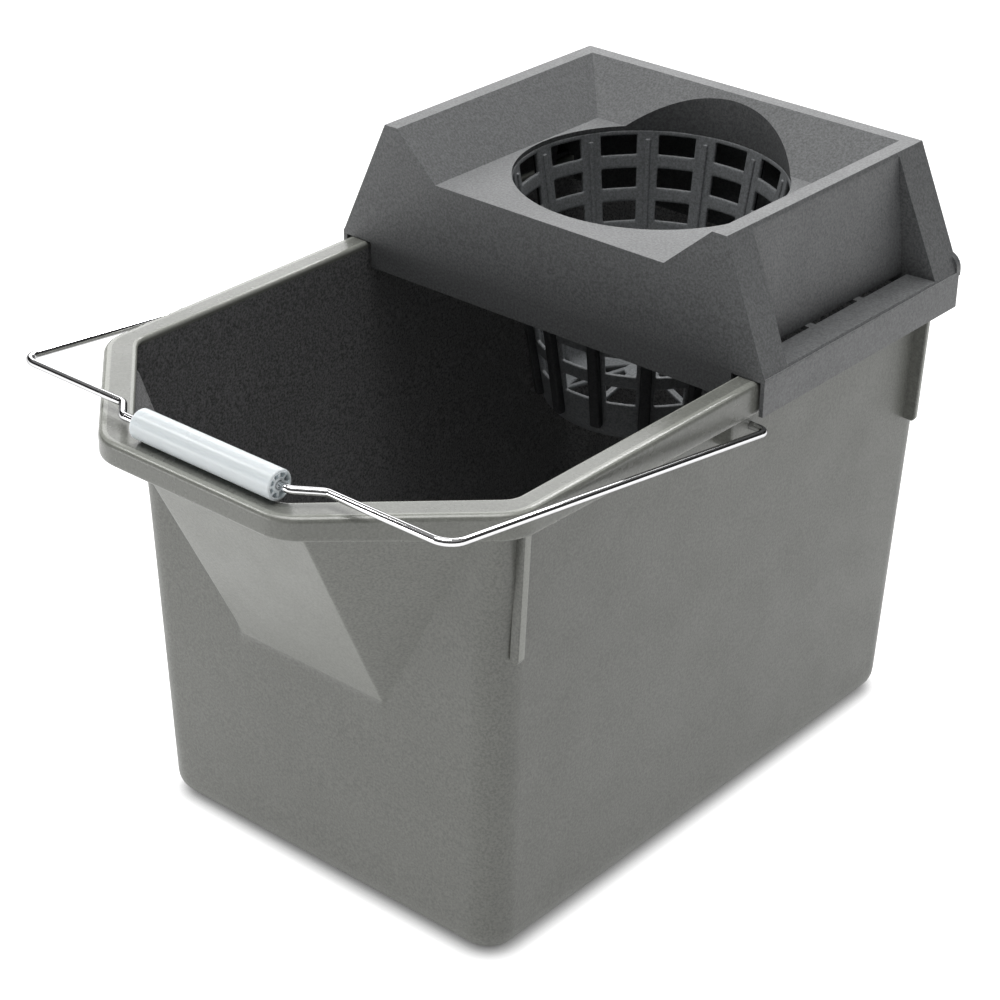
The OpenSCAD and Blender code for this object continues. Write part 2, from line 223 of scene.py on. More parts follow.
def meet(p, d, q, e):
    """Where two lines in the plane cross."""
    den = d.x * e.y - d.y * e.x
    t = ((q.x - p.x) * e.y - (q.y - p.y) * e.x) / den
    return p + d * t


def inset_polygon(points, by):
    """A counter-clockwise polygon with every side moved inwards."""
    n = len(points)
    pts = [Vector(p) for p in points]
    lines = []
    for i in range(n):
        d = (pts[(i + 1) % n] - pts[i]).normalized()
        lines.append((pts[i] + Vector((-d.y, d.x)) * by, d))
    parallel = 1e-6
    return [lines[i][0] if abs(lines[i - 1][1].cross(lines[i][1])) <= parallel
            else meet(*lines[i - 1], *lines[i]) for i in range(n)]


def quads(n, a, b):
    """The faces between two rings of n points that start at the vertices a and b."""
    return [[a + i, a + (i + 1) % n, b + (i + 1) % n, b + i] for i in range(n)]


def skin_rings(name, rings):
    """Joins rings of equal count into one surface, closed at both ends."""
    n = len(rings[0])
    verts = [v for ring in rings for v in ring]
    last = len(rings) - 1
    faces = [face for k in range(last) for face in quads(n, k * n, (k + 1) * n)]
    faces.append(list(range(n))[::-1])
    faces.append([last * n + i for i in range(n)])
    obj = make_object(name, verts, faces)
    fix_normals(obj)
    return obj


def lathe(name, profile, centre, axis="z", steps=96):
    """A closed profile of (radius, height) turned about an axis through centre."""
    rings = []
    for k in range(steps):
        a = 2 * math.pi * k / steps
        ring = []
        for r, h in profile:
            u, v = r * math.cos(a), r * math.sin(a)
            ring.append((centre[0] + u, centre[1] + v, h) if axis == "z"
                        else (h, centre[1] + u, centre[2] + v))
        rings.append(ring)
    n = len(profile)
    verts = [v for ring in rings for v in ring]
    faces = [face for k in range(steps) for face in quads(n, k * n, ((k + 1) % steps) * n)]
    obj = make_object(name, verts, faces)
    fix_normals(obj)
    return obj


# ------------------------------------------------------------------ materials

GRAIN_HEIGHT = 0.00012                            # metres
DRIFT_SCALE, SPECK_SCALE, GLOSS_SCALE = 9, 850, 40
GLOSS_SPREAD = 0.05


def lighter(colour, k):
    return tuple(min(c * k, 1) for c in colour)


def material(name, colour, rough, grain_scale, grain_depth, mottle, specular=0.5, fine=0.0):
    """Moulded plastic: a fine sparked grain, a slow drift in tone and slightly uneven gloss."""
    m = bpy.data.materials.new(name)
    m.use_nodes = True
    nodes, links = m.node_tree.nodes, m.node_tree.links
    shader = nodes["Principled BSDF"]
    shader.inputs["Specular IOR Level"].default_value = specular
    where = nodes.new("ShaderNodeTexCoord")

    def noise(scale, detail, rough_):
        t = nodes.new("ShaderNodeTexNoise")
        t.inputs["Scale"].default_value = scale
        t.inputs["Detail"].default_value = detail
        t.inputs["Roughness"].default_value = rough_
        links.new(where.outputs["Object"], t.inputs["Vector"])
        return t.outputs["Fac"]

    def ramp(fac, low, high, lo_pos=0.3, hi_pos=0.7):
        r = nodes.new("ShaderNodeValToRGB")
        r.color_ramp.elements[0].position = lo_pos
        r.color_ramp.elements[1].position = hi_pos
        r.color_ramp.elements[0].color = (*low, 1)
        r.color_ramp.elements[1].color = (*high, 1)
        links.new(fac, r.inputs["Fac"])
        return r.outputs["Color"]

    slow = ramp(noise(DRIFT_SCALE, 3, 0.55), lighter(colour, 1 - mottle), lighter(colour, 1 + mottle))
    speck = ramp(noise(SPECK_SCALE, 2, 0.7), (1 - fine,) * 3, (1 + fine,) * 3, 0.35, 0.65)
    mix = nodes.new("ShaderNodeMix")
    mix.data_type = "RGBA"
    mix.blend_type = "MULTIPLY"
    mix.inputs["Factor"].default_value = 1
    links.new(slow, mix.inputs["A"])
    links.new(speck, mix.inputs["B"])
    links.new(mix.outputs["Result"], shader.inputs["Base Color"])
    gloss = ramp(noise(GLOSS_SCALE, 4, 0.6), (rough - GLOSS_SPREAD,) * 3, (rough + GLOSS_SPREAD,) * 3)
    links.new(gloss, shader.inputs["Roughness"])
    bump = nodes.new("ShaderNodeBump")
    bump.inputs["Strength"].default_value = grain_depth
    bump.inputs["Distance"].default_value = GRAIN_HEIGHT
    links.new(noise(grain_scale, 3, 0.65), bump.inputs["Height"])
    links.new(bump.outputs["Normal"], shader.inputs["Normal"])
    return m


def chrome(name):
    """Bright plated wire with faint drawing marks."""
    m = bpy.data.materials.new(name)
    m.use_nodes = True
    nodes, links = m.node_tree.nodes, m.node_tree.links
    shader = nodes["Principled BSDF"]
    shader.inputs["Metallic"].default_value = 1
    shader.inputs["Specular Tint"].default_value = (0.3, 0.3, 0.3, 1)       # darker towards its outline
    where = nodes.new("ShaderNodeTexCoord")
    t = nodes.new("ShaderNodeTexNoise")
    t.inputs["Scale"].default_value = 260
    t.inputs["Detail"].default_value = 4
    links.new(where.outputs["Object"], t.inputs["Vector"])
    for socket, low, high in (("Base Color", 0.70, 0.86), ("Roughness", 0.03, 0.09)):
        r = nodes.new("ShaderNodeValToRGB")
        r.color_ramp.elements[0].color = (low, low, low * 1.01, 1)
        r.color_ramp.elements[1].color = (high, high, high * 1.01, 1)
        links.new(t.outputs["Fac"], r.inputs["Fac"])
        links.new(r.outputs["Color"], shader.inputs[socket])
    return m


PAIL_GREY = (0.132, 0.135, 0.122)
# lighter than the outside's plastic, to lift the shade inside the pail: painted light
PAIL_INSIDE_PAINTED_LIGHT = (0.208, 0.208, 0.210)
STRAINER_GREY = (0.104, 0.107, 0.109)
# lighter than the tray's plastic, to lift the shade inside the hole: painted light
CONE_PAINTED_LIGHT_GREY = (0.190, 0.198, 0.204)
# the ribs' darker tone: painted shade
CONE_PAINTED_SHADE = (0.045, 0.047, 0.049)
GRIP_WHITE = (0.62, 0.665, 0.685)

pail_skin = material("pail_plastic", PAIL_GREY, 0.42, 1100, 0.55, 0.045, fine=0.2)
pail_inside_painted_light = material("pail_plastic_inside_painted_light", PAIL_INSIDE_PAINTED_LIGHT, 0.6, 700, 1.0, 0.08, specular=0.3, fine=0.5)
# the rim's copy of the pail plastic is glossier and also lighter, for the light on the rim: painted light
pail_rim_painted_light = material("pail_rim_plastic_painted_light", lighter(PAIL_GREY, 1.18), 0.27, 1100, 0.2, 0.04, fine=0.12)
# far lighter and glossier on the rim's roundings and the fins' and lugs' edges: painted highlight
pail_painted_highlight = material("pail_painted_highlight_plastic", lighter(PAIL_GREY, 1.9), 0.22, 1100, 0.15, 0.04, fine=0.08)
# lighter on the spout's face, for the light it catches from below: painted light
pail_spout_painted_light = material("pail_spout_plastic_painted_light", lighter(PAIL_GREY, 1.24), 0.38, 1100, 0.5, 0.045, fine=0.15)
strainer_skin = material("strainer_plastic", STRAINER_GREY, 0.46, 1100, 0.6, 0.04, specular=0.45, fine=0.3)
# far lighter on the strainer's rounded edges: painted highlight
strainer_painted_highlight = material("strainer_painted_highlight_plastic", lighter(STRAINER_GREY, 2.6), 0.36, 1100, 0.3, 0.05,
                         fine=0.15)
cone_painted_light_skin = material("strainer_cone_plastic", CONE_PAINTED_LIGHT_GREY, 0.45, 1100, 0.6, 0.05, specular=0.4, fine=0.25)
cone_painted_shade = material("strainer_cone_shaded", CONE_PAINTED_SHADE, 0.5, 1100, 0.6, 0.05, specular=0.3, fine=0.25)
grip_skin = material("grip_plastic", GRIP_WHITE, 0.30, 900, 0.15, 0.015)
milky = grip_skin.node_tree.nodes["Principled BSDF"]
milky.inputs["Subsurface Weight"].default_value = 0.7
milky.inputs["Subsurface Radius"].default_value = (1.0, 1.0, 1.05)
milky.inputs["Subsurface Scale"].default_value = 0.004
# lighter inside the grip's tube, to lift the shade there: painted light
grip_inner_painted_light = material("grip_inner_plastic_painted_light", lighter(GRIP_WHITE, 1.4), 0.35, 900, 0.15, 0.015)
wire_skin = chrome("wire")


# ------------------------------------------------------------------ pail

wall = 2.2
rim_z = pail_hi[2]
rim_out = 10.2                                    # rim's reach outside the wall
top_half = pail_hi[0] - rim_out                   # the wall's outer face at the rim
draft = 8.0
base_half = top_half - draft
top_back = pail_hi[1] - rim_out
base_back = top_back - draft
lip_y = pail_lo[1] + rim_out
lip_half = 49.5
chamfer_end = 4.5                                 # chamfers meet the sides this far behind the front wall
chamfer_land = 3.0                                # the land is this much wider along the chamfers
rim_drop, lip_drop = 16.0, 10.8                   # depth of the turned-down edge, at the back and at the lip
spout_foot_z = 117.0
spout_foot_half = 43.5
corner_r = 16.0
foot_r = 12.0
lug_bore_r = 1.98
spout_painted_light_low = 115.0                            # the spout's face is painted lighter from here up, for the light it catches from below
spout_h = rim_z - spout_foot_z
spout_lean = (-top_back - lip_y) / spout_h
crease_gap = 1.2                                  # least width of the flank between lip and front wall
lip_lean = 0.047                                  # the lip's own lean, taken off the crease's
crease_lean = (top_half - 4.5 - spout_foot_half) / spout_h - lip_lean
crease_low = -20.0                                # the crease fades out down to here below the foot
lip_r, least_lip_r, crease_r = 3.0, 1.2, 2.4
# points on each corner and on each straight of the outline, from the lip's right end round to the left
ARCS = [6, 6, 9, 9, 9, 9, 6, 6]
RUNS = [12, 7, 22, 18, 22, 7, 12, 12]


def soft_step(t, soft):
    """The positive part of t, with its bend at 0 rounded."""
    return 0.5 * (t + math.sqrt(t * t + soft * soft))


def wall_ring(z, inset):
    """The wall's outline at one height: a rounded box with the spout's wedge in front."""
    lean = draft * min(max(z, 0), rim_z) / rim_z
    half, front, back = base_half + lean, -base_back - lean, base_back + lean
    above = z - spout_foot_z
    depth = spout_lean * soft_step(above, 3.0)
    lip = spout_foot_half + (lip_half - spout_foot_half) * max(above, 0) / spout_h
    crease = lip + crease_gap + crease_lean * soft_step(max(above, crease_low), 6.0)
    crease = min(crease, half - 1.5) + max(0, -above) * 0.12
    polygon = [(lip, front - depth), (crease, front), (half, front), (half, back),
               (-half, back), (-half, front), (-crease, front), (-lip, front - depth)]
    polygon = inset_polygon(polygon, inset)
    corner = min(corner_r, max(polygon[2].x - polygon[1].x + inset, 4.0)) - inset
    right = [max(lip_r - inset, least_lip_r), crease_r + inset, corner, corner_r - inset]
    return fillet_loop(polygon, right + right[::-1], ARCS, RUNS)


def rim_ring(grow, chamfer_in=0.0):
    """The rim's outline with the flat front, two chamfers, sides and back, grown outwards.

    The chamfers can be drawn in further than the rest."""
    run = Vector((top_half - lip_half, chamfer_end - top_back - lip_y))
    lip_x = lip_half - chamfer_in * run.length / run.y
    side_y = lip_y + run.y + chamfer_in * run.length / run.x
    polygon = [(lip_x, lip_y), (top_half, side_y), (top_half, top_back),
               (-top_half, top_back), (-top_half, side_y), (-lip_x, lip_y)]
    polygon = inset_polygon(polygon, -grow)
    front_r, rear_r = 13.0 + grow, 11.0 + grow
    # the chamfer carries the points that the wall spends on flank, crease and front wall
    spare = RUNS[0] + ARCS[1] - 1 + RUNS[1]
    arcs = [ARCS[0], ARCS[2], ARCS[3], ARCS[4], ARCS[5], ARCS[7]]
    runs = [spare, RUNS[2], RUNS[3], RUNS[4], spare, RUNS[7]]
    return fillet_loop(polygon, [front_r, front_r, rear_r, rear_r, front_r, front_r], arcs, runs)


def ring_at(z, inset):
    """Wall outline, easing into the rim's outline over the last stretch."""
    ring = wall_ring(z, inset)
    stretch = 9.0 if inset else 13.0
    t = min((z - (rim_z - stretch)) / (stretch - 2.0), 1)
    if t > 0:
        ring = [a.lerp(b, t) for a, b in zip(ring, rim_ring(-inset, chamfer_land if inset else 0.0))]
    return [(p.x, p.y, z) for p in ring]


def flat_ring(grow, z, chamfer_in=0.0):
    """The rim's outline at one height."""
    return [(p.x, p.y, z) for p in rim_ring(grow, chamfer_in)]


def edge_ring(grow, up):
    """A ring on the turned-down edge, which rises from the strainer's front towards the lip."""
    ring = []
    for p in rim_ring(grow):
        t = min(max((tray_front - p.y) / (tray_front - pail_lo[1]), 0), 1)
        ring.append((p.x, p.y, rim_z - rim_drop + (rim_drop - lip_drop) * t + up))
    return ring


def foot_rings(inset, low_z, r):
    """The rounding between the flat base and the wall."""
    rings = []
    for k in range(7):
        a = math.radians(90 - 15 * k)              # 90 at the flat base, 0 at the wall
        d = r * (1 - math.cos(a))
        ring = wall_ring(low_z + r, inset + d * 0.999)
        rings.append([(p.x, p.y, low_z + r * (1 - math.sin(a))) for p in ring])
    return rings


# heights of the wall's rings, closest about the spout's foot and under the rim
levels = [foot_r + 6, 30, 50, 70, 90, 104, 110, 113, 115, 116, 117, 118, 119.5, 121.5, 124.5, 129, 137,
          150, 165, 180, 195, 208, 218, 225, 230, 233, 236, 239]
outside = foot_rings(0, 0, foot_r) + [ring_at(z, 0) for z in levels]
land_z = rim_z - wall
edge_in = rim_out - wall                          # inner face of the turned-down edge
under = [ring_at(land_z - 1.6, 0)]
under += [flat_ring(0.5, land_z - 0.45), flat_ring(1.6, land_z), flat_ring(edge_in - 1.2, land_z)]
under += [flat_ring(edge_in - 0.35, land_z - 0.35), flat_ring(edge_in, land_z - 1.2)]
under += [edge_ring(edge_in, 1.1), edge_ring(edge_in + 0.33, 0.33)]
under += [edge_ring(edge_in + 1.1, 0), edge_ring(rim_out - 0.33, 0.33)]
edge_r, inner_r = 2.8, 2.1                        # roundings of the rim's outer and inner edge
edge = [edge_ring(rim_out, 1.1), edge_ring(rim_out, 2.6), flat_ring(rim_out, rim_z - edge_r - 1.6)]
outer_round, inner_round = [], []
for k in range(7):
    a = math.radians(15 * k)
    outer_round.append(flat_ring(rim_out - edge_r * (1 - math.cos(a)), rim_z - edge_r * (1 - math.sin(a))))
    a = math.radians(90 - 15 * k)
    inner_round.append(flat_ring(-wall + inner_r * (1 - math.cos(a)), rim_z - inner_r * (1 - math.sin(a)),
                                 chamfer_land))
land = [flat_ring(rim_out - edge_r - 1.0, rim_z), flat_ring(-wall + inner_r + 1.0, rim_z, chamfer_land)]
inside = [ring_at(z, wall) for z in [rim_z - 3.2, rim_z - 4.2] + levels[::-1]]
inside += foot_rings(wall, wall, foot_r - wall)[::-1]
# the pail's materials, in the order of its slots
SKIN, INSIDE_PAINTED_LIGHT, RIM_PAINTED_LIGHT, EDGE_PAINTED_HIGHLIGHT, SPOUT_PAINTED_LIGHT = range(5)
# each run of rings, with the material of the faces that start at it
# the rim takes its lighter copy, painted light, and its roundings the painted highlight
runs_of_rings = [(outside, SKIN), (under, RIM_PAINTED_LIGHT), (edge, RIM_PAINTED_LIGHT), (outer_round[:3], RIM_PAINTED_LIGHT),
                 (outer_round[3:], EDGE_PAINTED_HIGHLIGHT), (land, RIM_PAINTED_LIGHT), (inner_round, EDGE_PAINTED_HIGHLIGHT), (inside, INSIDE_PAINTED_LIGHT)]
pail_rings = [ring for rings, _ in runs_of_rings for ring in rings]
ring_slots = [slot for rings, slot in runs_of_rings for _ in rings]
pail_shell = skin_rings("pail_shell", pail_rings)
ring_size = len(pail_rings[0])
side_faces = ring_size * (len(pail_rings) - 1)
for poly in pail_shell.data.polygons:
    if poly.index < side_faces:
        poly.material_index = ring_slots[poly.index // ring_size]
    elif poly.index > side_faces:
        poly.material_index = INSIDE_PAINTED_LIGHT              # the floor inside, in the lighter inside plastic: painted light
    overhangs = poly.normal.z < -0.3 and poly.normal.y < -0.86
    if poly.material_index == SKIN and overhangs and poly.center.z > spout_painted_light_low * MM:
        poly.material_index = SPOUT_PAINTED_LIGHT               # a slightly smoother finish, and painted lighter for the light from below: painted light


def fin(side, y, thick, out, low_z):
    """A stiffening fin under the rim, rounded at its lower end."""
    low = base_half + draft * low_z / rim_z
    root = low - 1.2
    top_z = land_z - 0.6
    points = [(root, low_z + 0.6), (low + out * 0.7, low_z), (low + out * 0.95, low_z + 2),
              (top_half + out, top_z), (top_half - 1.4, top_z)]
    # the prism along y takes (z, x) pairs
    obj = prism("fin", [(z, side * x) for x, z in points], y, y + thick, "y")
    # the fin's rounded edges and its outer face take the painted highlight
    bevel(obj, 0.9, 4, highlight_slot=EDGE_PAINTED_HIGHLIGHT)
    for face in obj.data.polygons:
        if face.normal.x * side > 0.9:
            face.material_index = EDGE_PAINTED_HIGHLIGHT
    return obj


def lug(side):
    """The block under the rim that the bail's end hooks into."""
    low_z, high_z, r = rim_z - 29.0, land_z - 0.8, 5.0
    mid, half_length = pivot_y + 1.0, 15
    outline = []
    for sy, a0 in ((1, 270), (1, 0), (-1, 90), (-1, 180)):
        up = a0 in (0, 90)
        cz = high_z - r if up else low_z + r
        for k in range(6):
            a = math.radians(a0 + 18 * k)
            outline.append((mid + sy * (half_length - r) + r * math.cos(a), cz + r * math.sin(a)))
    x0, x1 = side * (top_half - 1.6), side * (top_half + 9.6)
    obj = prism("lug", outline, min(x0, x1), max(x0, x1), "x")
    near, far = side * 105.0, side * 140.0        # the bore goes right through, so it starts inside
    bore = lathe("bore", [(AXIS, near), (lug_bore_r, near), (lug_bore_r, far), (AXIS, far)],
                 (0, pivot_y, pivot_z), axis="x", steps=32)
    # the lug's rounded edges take the painted highlight
    return cut(bevel(obj, 1.0, 3, highlight_slot=EDGE_PAINTED_HIGHLIGHT), bore)


# place, thickness, reach and lower end of the front and the rear fin; the left front one ends higher
fins = [(-base_back + 2.5, 5.0, 4.0, 163.0), (base_back - 14.5, 3.0, 7.0, 165.0)]
left_raise = (9.0, 0.0)
extras = [fin(1, *shape) for shape in fins]
extras += [fin(-1, y, thick, out, low_z + up) for (y, thick, out, low_z), up in zip(fins, left_raise)]
extras += [lug(1), lug(-1)]
pail = join("pail_moulding", [pail_shell] + extras)
for skin in (pail_skin, pail_inside_painted_light, pail_rim_painted_light, pail_painted_highlight, pail_spout_painted_light):
    pail.data.materials.append(skin)
weight_normals(pail)
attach(pail, "pail")
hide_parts("pail")


# ------------------------------------------------------------------ strainer tray

def from_node(node, name):
    """A new piece that starts from a CAD node's faces, with flat regions made whole again."""
    bm = bmesh.new()
    bm.from_mesh(frame["nodes"][node].data)
    bmesh.ops.remove_doubles(bm, verts=bm.verts, dist=2e-6)
    bmesh.ops.dissolve_limit(bm, angle_limit=math.radians(0.6), verts=bm.verts, edges=bm.edges)
    mesh = bpy.data.meshes.new(name)
    bm.to_mesh(mesh)
    bm.free()
    obj = bpy.data.objects.new(name, mesh)
    scene.collection.objects.link(obj)
    return obj


tray = from_node("strainer_tray", "strainer_tray_moulding")
for skin in (strainer_skin, strainer_painted_highlight):
    tray.data.materials.append(skin)
# the tray's rounded outer edges take slot 1, a painted highlight
bevel(tray, 0.8, 3, 20, highlight_slot=1)
tray.data.shade_smooth()
weight_normals(tray)
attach(tray, "strainer")
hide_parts("strainer_tray")


# ------------------------------------------------------------------ strainer cone

cone_c = ((cone_lo[0] + cone_hi[0]) / 2, (cone_lo[1] + cone_hi[1]) / 2)
cone_top, cone_foot = cone_hi[2], cone_lo[2]
cone_t = 2.2                                      # thickness of the cone's wall and floor
hole_r, taper, cone_foot_r = 68.0, 19.0, 9.3
low_r = hole_r - taper
low_z = cone_foot + cone_foot_r
floor_open_r = 37.7                               # the opening that the spokes cross
columns, rows = 14, 6
window_h, window_deg, pitch = 9.8, 16.0, 16.9
first_row = cone_top - 2.6
# width, depth and rounding of each kind of bar
RIB, BEAD, SPOKE = (5.8, 4.6, 1.3), (2.8, 2.2, 0.8), (3.6, 2.0, 0.7)
rib_mid, bead_mid = cone_t + 1.6, 0.15            # where a bar's middle lies, outwards from the inner face
spokes, hub_z, hub_r = 7, cone_foot + 15.0, 9.0


def cone_radius(z):
    """The inner face of the cone's wall."""
    return low_r + (hole_r - low_r) * (z - low_z) / (cone_top - low_z)


def cone_wall():
    """The tapering wall with its windows left open, thickened outwards and rounded by subdivision."""
    step, half = 360.0 / columns, window_deg / 2
    lap, lap_deg = 0.9, 0.85                      # guard loops beside each window edge
    thetas = []
    for i in range(columns):
        mid = (i + 0.5) * step
        for d in (-step / 2, -half - lap_deg, -half, -half + lap_deg, 0,
                  half - lap_deg, half, half + lap_deg):
            thetas.append((mid + d, d))
    heights = [(cone_top, False), (cone_top - 0.8, False)]
    for row in range(rows):
        top = first_row - row * pitch
        low = top - window_h
        heights += [(top + lap, False), (top, True), (top - lap, True), ((top + low) / 2, True),
                    (low + lap, True), (low, False), (low - lap, False)]
    # radius, height and whether the faces below it are a row of windows
    profile = [(cone_radius(z), z, w) for z, w in heights]
    profile.append((cone_radius(low_z + 2), low_z + 2, False))
    inner_foot = cone_foot_r - cone_t
    centre_r = low_r - inner_foot
    for k in range(1, 7):
        a = math.radians(15 * k)
        profile.append((centre_r + inner_foot * math.cos(a), low_z - inner_foot * math.sin(a), False))
    profile += [(centre_r - 2.0, cone_foot + cone_t, False), (floor_open_r, cone_foot + cone_t, False)]
    verts, faces = [], []
    n = len(thetas)
    for r, z, _ in profile:
        for deg, _ in thetas:
            a = math.radians(deg)
            verts.append((cone_c[0] + r * math.cos(a), cone_c[1] + r * math.sin(a), z))
    for k in range(len(profile) - 1):
        for (_, d), face in zip(thetas, quads(n, k * n, (k + 1) * n)):
            is_window = profile[k][2] and -half - 0.01 <= d < half - 0.01
            if not is_window:
                faces.append(face)
    obj = make_object("cone_wall", verts, faces)
    bm = bmesh.new()
    bm.from_mesh(obj.data)
    loose = [v for v in bm.verts if not v.link_faces]
    bmesh.ops.delete(bm, geom=loose, context="VERTS")
    bmesh.ops.recalc_face_normals(bm, faces=bm.faces)
    probe = max(bm.faces, key=lambda f: f.calc_center_median().z)
    c = probe.calc_center_median() - Vector((cone_c[0] * MM, cone_c[1] * MM, cone_top * MM))
    if probe.normal.dot(Vector((c.x, c.y, 0))) < 0:
        bmesh.ops.reverse_faces(bm, faces=bm.faces)
    bm.to_mesh(obj.data)
    bm.free()
    m = obj.modifiers.new("thick", "SOLIDIFY")
    m.thickness = cone_t * MM
    m.offset = 1.0
    m.use_even_offset = True
    s = obj.modifiers.new("round", "SUBSURF")
    s.levels = s.render_levels = 1
    return apply_modifiers(obj)


def shaded(obj):
    """Gives the whole bar the cone's darker material, a painted shade."""
    for face in obj.data.polygons:
        face.material_index = 1
    return obj


def cone_point(deg, r, z):
    """A point about the cone's axis."""
    a = math.radians(deg)
    return (cone_c[0] + r * math.cos(a), cone_c[1] + r * math.sin(a), z)


def tangent(deg):
    """The direction round the cone at this angle."""
    a = math.radians(deg)
    return (-math.sin(a), math.cos(a), 0)


def cone_bar(name, deg, out, low, high, size):
    """A bar up the cone's wall, its middle line this far outside the wall's inner face."""
    return rounded_bar(name, cone_point(deg, cone_radius(low) + out, low),
                       cone_point(deg, cone_radius(high) + out, high), tangent(deg), *size)


cone_parts = [cone_wall()]
for i in range(columns):
    deg = i * 360.0 / columns
    # the ribs take the painted shade
    cone_parts.append(shaded(cone_bar("rib", deg, rib_mid, low_z - 1.0, cone_top - 2.6, RIB)))
    cone_parts.append(cone_bar("bead", deg, bead_mid, low_z - 2.0, cone_top - 4.4, BEAD))
for i in range(spokes):
    deg = i * 360.0 / spokes
    cone_parts.append(rounded_bar("spoke", cone_point(deg, 8.2, hub_z + 1.1),
                                  cone_point(deg, 38.6, cone_foot + 1.2), tangent(deg), *SPOKE))
hub_soft, hub_top = 0.7, hub_z + cone_t
hub = [(AXIS, hub_z), (hub_r - hub_soft, hub_z), (hub_r, hub_z + hub_soft), (hub_r, hub_top - hub_soft),
       (hub_r - hub_soft, hub_top), (AXIS, hub_top)]
cone_parts.append(lathe("hub", hub, cone_c, steps=48))
flange_in, flange_out = hole_r + 0.4, hole_r + 7
flange_soft, flange_low = 0.6, cone_top - cone_t
flange = [(flange_in, flange_low), (flange_out - flange_soft, flange_low),
          (flange_out, flange_low + flange_soft), (flange_out, cone_top), (flange_in, cone_top)]
cone_parts.append(lathe("flange", flange, cone_c))
cone = join("strainer_cone_moulding", cone_parts)
for skin in (cone_painted_light_skin, cone_painted_shade):
    cone.data.materials.append(skin)
weight_normals(cone)
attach(cone, "strainer")
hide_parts("strainer_cone")


# ------------------------------------------------------------------ bail

wire_r = 1.85
arm = math.hypot(grip_y - pivot_y, grip_z - pivot_z)
rest = math.atan2(grip_z - pivot_z, pivot_y - grip_y)
jog = 10.4                                        # the grip's run stands out this far from the cross run
pivot_half = wire_end - wire_r
pin_in = 116.6                                    # inner end of the pin in the lug's bore
corner_half = pivot_half - 7.4
cross_half, run_half = 60.8, 49.8
reach = arm - jog


def bail_point(x, out):
    """A point of the bail's plane: across, and out from the pivot line."""
    return Vector((x, pivot_y - out * math.cos(rest), pivot_z + out * math.sin(rest)))


def bent_path(points, radii, steps=8):
    """The centre line through flat points, with an arc at each inner one."""
    out = [Vector(points[0])]
    for i in range(1, len(points) - 1):
        a, p, b = Vector(points[i - 1]), Vector(points[i]), Vector(points[i + 1])
        d, e = (p - a).normalized(), (b - p).normalized()
        turn = d.angle(e)
        t = radii[i] * math.tan(turn / 2)
        out += [conic(p - d * t, p, p + e * t, turn, k / steps) for k in range(steps + 1)]
    out.append(Vector(points[-1]))
    return out


def tube(name, path, r, sides=24, round_end=0.5):
    """A round wire along a path, with slightly rounded ends."""
    rings = []
    n = len(path)
    normal = Vector((0, math.sin(rest), math.cos(rest)))
    for i, p in enumerate(path):
        along = (path[min(i + 1, n - 1)] - path[max(i - 1, 0)]).normalized()
        across = along.cross(normal).normalized()
        up = across.cross(along).normalized()
        if i == 0:
            sections = [(0.0, r - round_end), (round_end, r)]
        elif i == n - 1:
            sections = [(-round_end, r), (0.0, r - round_end)]
        else:
            sections = [(0.0, r)]
        for shift, radius in sections:
            c = p + along * shift
            rings.append([tuple(c + (across * math.cos(a) + up * math.sin(a)) * radius)
                          for a in (2 * math.pi * k / sides for k in range(sides))])
    return skin_rings(name, rings)


flat_path = [(pin_in, 0), (pivot_half, 0), (corner_half, reach), (cross_half, reach), (run_half, arm),
             (-run_half, arm), (-cross_half, reach), (-corner_half, reach), (-pivot_half, 0), (-pin_in, 0)]
bends = [0, 5, 9, 5, 5, 5, 5, 9, 5, 0]
wire_line = [bail_point(p.x, p.y) for p in bent_path(flat_path, bends)]
wire = tube("bail_wire_bent", wire_line, wire_r)
wire.data.materials.append(wire_skin)
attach(wire, "bail")
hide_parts("bail_wire")


# ------------------------------------------------------------------ grip

grip_half = (grip_hi[0] - grip_lo[0]) / 2
grip_x = (grip_hi[0] + grip_lo[0]) / 2
grip_r = (grip_hi[2] - grip_lo[2]) / 2
shell_t, core_r, core_bore = 1.5, 3.45, 1.95
web_t, webs = 1.2, 8
bore_r = grip_r - shell_t
mouth_r = grip_r - 1.0                            # faces nearer the axis than this are the inner ones, painted lighter to lift their shade


def grip_tube(name, outer, inner, half, soft):
    """One of the grip's two tubes, with rounded outer edges and a small chamfer inside."""
    pts = []
    for k in range(5):                             # outer edge at +x
        a = math.radians(22.5 * k)
        pts.append((outer - soft + soft * math.sin(a), grip_x + half - soft + soft * math.cos(a)))
    for k in range(5):                             # outer edge at -x
        a = math.radians(22.5 * k)
        pts.append((outer - soft + soft * math.cos(a), grip_x - half + soft - soft * math.sin(a)))
    ease = 0.25
    pts += [(inner + ease, grip_x - half), (inner, grip_x - half + ease),
            (inner, grip_x + half - ease), (inner + ease, grip_x + half)]
    return lathe(name, pts, (0, grip_y, grip_z), axis="x", steps=64)


grip_parts = [grip_tube("outer", grip_r, bore_r, grip_half, 0.9),
              grip_tube("core", core_r, core_bore, grip_half - 0.5, 0.35)]
for i in range(webs):
    a = 2 * math.pi * i / webs + math.pi / 2 - rest
    mid_r = (core_r + bore_r) / 2
    web_y, web_z, web_half = grip_y + mid_r * math.cos(a), grip_z + mid_r * math.sin(a), grip_half - 0.6
    grip_parts.append(rounded_bar("web", (grip_x - web_half, web_y, web_z), (grip_x + web_half, web_y, web_z),
                                  (0, -math.sin(a), math.cos(a)), web_t, bore_r - core_r + 0.8, 0.25))
grip = join("bail_grip_moulding", grip_parts)
for skin in (grip_skin, grip_inner_painted_light):
    grip.data.materials.append(skin)
for face in grip.data.polygons:
    from_axis = math.hypot(face.center.y / MM - grip_y, face.center.z / MM - grip_z)
    face.material_index = int(from_axis < mouth_r)
weight_normals(grip)
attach(grip, "grip")
